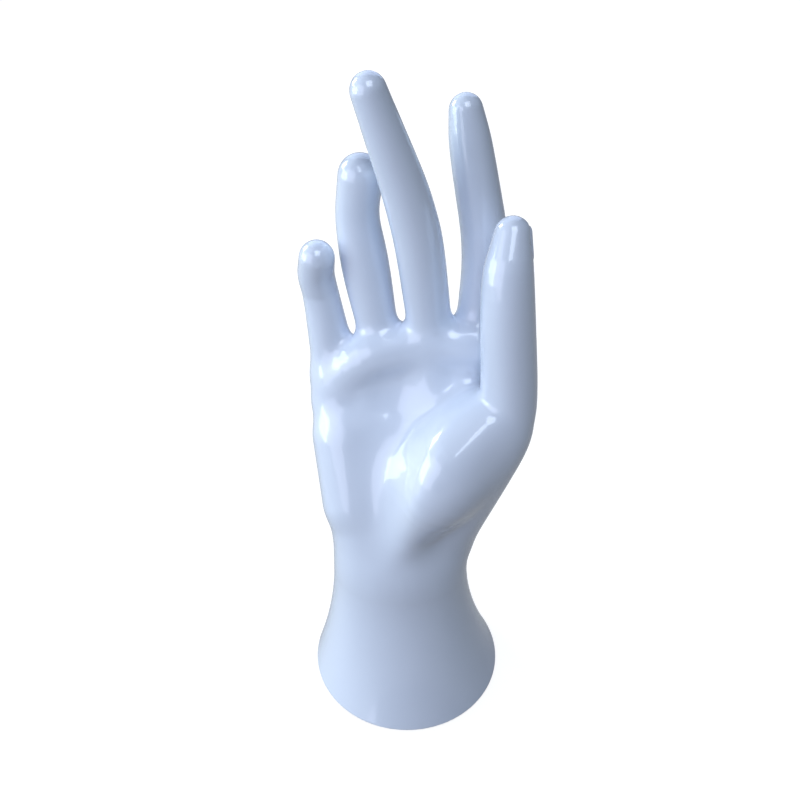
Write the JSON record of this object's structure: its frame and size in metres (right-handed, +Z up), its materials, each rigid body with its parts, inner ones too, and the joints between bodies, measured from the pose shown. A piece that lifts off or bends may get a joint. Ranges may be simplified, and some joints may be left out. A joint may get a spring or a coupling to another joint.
{
  "type": "hand jewelry stand",
  "caption": "Free-standing right-hand jewelry stand with a flared round foot, a narrow wrist for bracelets and slender fingers for rings.",
  "frame": {"origin": "middle of the round foot, on the table plane at the underside of the foot pad", "axes": "+Z up from the foot to the finger tips, -Y out of the palm, +X to the thumb side"},
  "size_m": [0.0759, 0.0765, 0.2182],
  "materials": {
    "hand_shell": "gloss white lacquer with a cool cast",
    "base_plate": "satin moulded white",
    "weight": "raw cast",
    "foot_pad": "fine closed-cell foam",
    "screws": "zinc plated"
  },
  "bodies": {
    "root": {"palm_half": "hand_shell", "back_half": "hand_shell", "base_plate": "base_plate", "weight_disc": "weight", "foot_pad": "foot_pad", "base_screw_1": "screws", "base_screw_2": "screws", "base_screw_3": "screws"}
  },
  "joints": []
}
